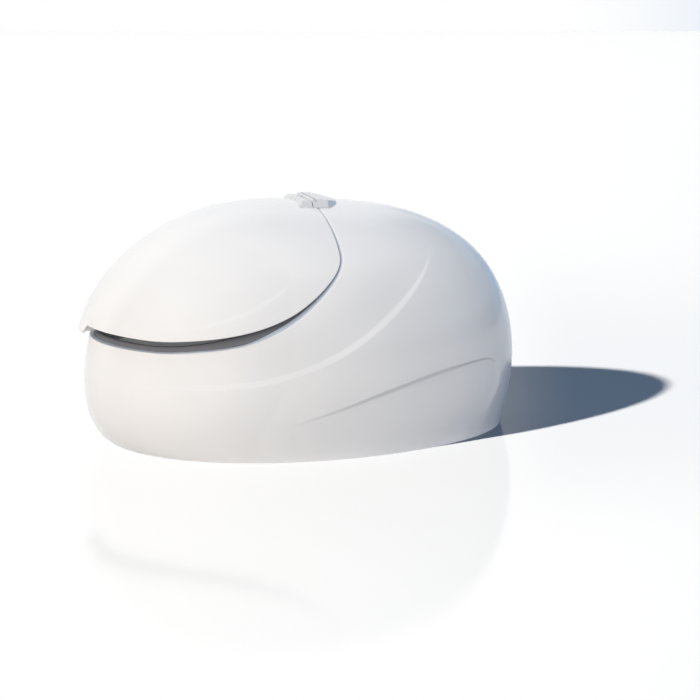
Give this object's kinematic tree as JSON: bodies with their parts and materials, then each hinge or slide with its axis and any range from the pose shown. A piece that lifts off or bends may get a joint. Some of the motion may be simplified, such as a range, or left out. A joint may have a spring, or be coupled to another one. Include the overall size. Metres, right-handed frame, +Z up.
{
  "type": "flotation tank",
  "caption": "Egg-shaped flotation tank: a glossy moulded pod with a nose lid on a crown hinge, standing ajar, over a shallow bath, with its plant in the tail.",
  "frame": {"origin": "on the floor under the middle of the whole tank", "axes": "+X along the pod to its tail (the lid is at -X), +Y across, +Z up from the floor"},
  "size_m": [2.5006, 1.7691, 1.325],
  "materials": {
    "shell_gelcoat": "gloss white gelcoat over glass-fibre laminate",
    "lid_gelcoat": "gloss white gelcoat over glass-fibre laminate",
    "inner_liner": "satin pale grey-white moulding",
    "bath_acrylic": "gloss white acrylic",
    "coaming_moulding": "satin pale blue-grey moulding",
    "seal_rubber": "matt black EPDM seal",
    "foam_quilt": "closed-cell insulation quilt",
    "hinge_metal": "satin white-silver cast aluminium",
    "stainless": "brushed stainless steel",
    "bolt_steel": "plain stainless bolts",
    "chrome_trim": "bright chrome",
    "lamp_glass": "clear lens",
    "frame_metal": "welded aluminium section",
    "bearer_wood": "birch plywood bearers",
    "plant_board": "grey PVC board",
    "pump_plastic": "black glass-filled nylon",
    "motor_metal": "blue-grey painted aluminium motor case",
    "rotor_steel": "steel shaft and rotor",
    "pipe_plastic": "white pressure pipe",
    "filter_body": "dark grey filter housing",
    "filter_paper": "pleated polyester cartridge",
    "control_case": "light grey electrical box",
    "black_fitting": "black moulded fitting",
    "red_handle": "red valve handle",
    "button_white": "white push button",
    "strut_black": "black painted strut tube",
    "strut_rod_chrome": "hard chrome rod",
    "speaker_grey": "sealed intercom and speaker face"
  },
  "bodies": {
    "tank": {"body_shell": "shell_gelcoat", "opening_coaming": "coaming_moulding", "rim_seal": "seal_rubber", "canopy_liner": "inner_liner", "canopy_insulation": "foam_quilt", "hinge_body_leaf": "hinge_metal", "hinge_pin": "stainless", "hinge_body_bolts": "bolt_steel", "bath": "bath_acrylic", "lamp_housing": "black_fitting", "lamp_bezel": "chrome_trim", "lamp_lens": "lamp_glass", "return_manifold": "pipe_plastic", "jet_rings": "chrome_trim", "suction_grille": "chrome_trim", "suction_fitting": "pipe_plastic", "base_frame": "frame_metal", "levelling_feet": "stainless", "foot_lock_nuts": "bolt_steel", "bath_bearers": "bearer_wood", "button_housings": "chrome_trim", "fan_housing": "black_fitting", "fan_grille": "chrome_trim", "intercom_speaker": "speaker_grey", "plant_tray": "plant_board", "pump_case": "pump_plastic", "pump_motor": "motor_metal", "filter_canister": "filter_body", "filter_cartridge": "filter_paper", "water_heater": "stainless", "ultraviolet_unit": "stainless", "control_box": "control_case", "control_cover": "control_case", "suction_pipe": "pipe_plastic", "plant_pipes": "pipe_plastic", "drain_valve": "pump_plastic", "power_inlet": "black_fitting", "panel_arms": "stainless", "strut_body_brackets": "stainless"},
    "lid": {"lid_shell": "lid_gelcoat", "lid_liner": "inner_liner", "lid_insulation": "foam_quilt", "hinge_lid_leaf": "hinge_metal", "hinge_lid_bolts": "bolt_steel", "strut_lid_brackets": "stainless"},
    "service_door": {"service_panel": "shell_gelcoat", "panel_lugs": "stainless"},
    "drain_handle": {"drain_handle": "red_handle"},
    "filter_cap": {"filter_cap": "filter_body"},
    "fan_rotor": {"fan_rotor": "black_fitting"},
    "pump_rotor": {"pump_rotor": "rotor_steel"},
    "jet_right": {"jet_eyeball_right": "chrome_trim"},
    "jet_left": {"jet_eyeball_left": "chrome_trim"},
    "light_button": {"light_button": "button_white"},
    "call_button": {"call_button": "button_white"},
    "strut_tube_right": {"strut_tube_right": "strut_black"},
    "strut_tube_left": {"strut_tube_left": "strut_black"},
    "strut_rod_right": {"strut_rod_right": "strut_rod_chrome"},
    "strut_rod_left": {"strut_rod_left": "strut_rod_chrome"}
  },
  "joints": [
    {"name": "lid_hinge", "type": "hinge", "parent": "tank", "child": "lid", "pos_m": [0.04, 0, 1.313], "axis": [0, 1, 0], "range_deg": [-2.65, 43]},
    {"name": "strut_pivot_right", "type": "hinge", "parent": "tank", "child": "strut_tube_right", "pos_m": [0.215, -0.47, 1.05], "axis": [0, 1, 0], "range_deg": [-1.4, 21.7]},
    {"name": "strut_slide_right", "type": "slide", "parent": "strut_tube_right", "child": "strut_rod_right", "axis": [-0.9996, 0, -0.0297], "range_m": [-0.0115, 0.1805]},
    {"name": "strut_pivot_left", "type": "hinge", "parent": "tank", "child": "strut_tube_left", "pos_m": [0.215, 0.47, 1.05], "axis": [0, 1, 0], "range_deg": [-1.4, 21.7]},
    {"name": "strut_slide_left", "type": "slide", "parent": "strut_tube_left", "child": "strut_rod_left", "axis": [-0.9996, 0, -0.0297], "range_m": [-0.0115, 0.1805]},
    {"name": "panel_hinge", "type": "hinge", "parent": "tank", "child": "service_door", "pos_m": [1.1979, 0, 0.17], "axis": [0, 1, 0], "range_deg": [0, 75]},
    {"name": "drain_turn", "type": "hinge", "parent": "tank", "child": "drain_handle", "pos_m": [1.01215, 0, 0.12], "axis": [0, 0, 1], "range_deg": [0, 90]},
    {"name": "filter_cap_turn", "type": "hinge", "parent": "tank", "child": "filter_cap", "pos_m": [0.94, -0.25, 0.38], "axis": [0, 0, 1], "range_deg": [0, 60]},
    {"name": "fan_spin", "type": "hinge", "parent": "tank", "child": "fan_rotor", "pos_m": [1.02, 0, 0.46], "axis": [0, 0, 1], "continuous": true},
    {"name": "pump_spin", "type": "hinge", "parent": "tank", "child": "pump_rotor", "pos_m": [0.94, 0.15, 0.165], "axis": [0, 1, 0], "continuous": true},
    {"name": "jet_aim_right", "type": "hinge", "parent": "tank", "child": "jet_right", "pos_m": [0.856, -0.06, 0.3], "axis": [0, 0, 1], "range_deg": [-20, 20]},
    {"name": "jet_aim_left", "type": "hinge", "parent": "tank", "child": "jet_left", "pos_m": [0.856, 0.06, 0.3], "axis": [0, 0, 1], "range_deg": [-20, 20]},
    {"name": "light_button_press", "type": "slide", "parent": "tank", "child": "light_button", "axis": [0, 0, -1], "range_m": [0, 0.004], "stiffness_N_per_m": 800, "springref_m": -0.001},
    {"name": "call_button_press", "type": "slide", "parent": "tank", "child": "call_button", "axis": [0, 0, -1], "range_m": [0, 0.004], "stiffness_N_per_m": 800, "springref_m": -0.001}
  ],
  "couplings": [
    {"joint": "strut_pivot_right", "follows": "lid_hinge", "ratio": 0.5011},
    {"joint": "strut_pivot_left", "follows": "lid_hinge", "ratio": 0.5011},
    {"joint": "strut_slide_right", "follows": "lid_hinge", "m_per_rad": 0.2392},
    {"joint": "strut_slide_left", "follows": "lid_hinge", "m_per_rad": 0.2392}
  ]
}
